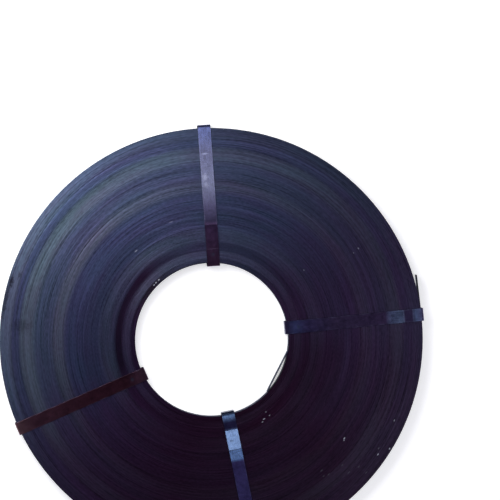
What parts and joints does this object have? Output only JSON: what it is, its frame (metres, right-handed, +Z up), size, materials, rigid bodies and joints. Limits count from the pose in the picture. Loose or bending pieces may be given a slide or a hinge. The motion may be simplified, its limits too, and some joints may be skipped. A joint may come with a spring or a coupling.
{
  "type": "blued steel strapping coil",
  "caption": "Flat ribbon-wound coil of blued steel strapping with a round bore and loose strap ends, held by narrow steel tie bands wrapped round its section.",
  "frame": {"origin": "on the coil's axis, at the floor that the tie bands rest on", "axes": "+Z up along the coil's axis, +X and +Y in the floor, with the tie bands near +Y, +X, -Y and -X"},
  "size_m": [0.5315, 0.5342, 0.0254],
  "materials": {
    "blued_strap": "blued, edges of the turns slit bright and dulled",
    "band_top": "blued, lilac temper",
    "band_right": "blued, dark indigo",
    "band_bottom": "blued, dark indigo with a brighter lap",
    "band_left": "blued, bronze-brown temper"
  },
  "bodies": {
    "root": {"strapping_coil": "blued_strap", "tie_band_top": "band_top", "tie_band_right": "band_right", "tie_band_bottom": "band_bottom", "tie_band_left": "band_left"}
  },
  "joints": []
}
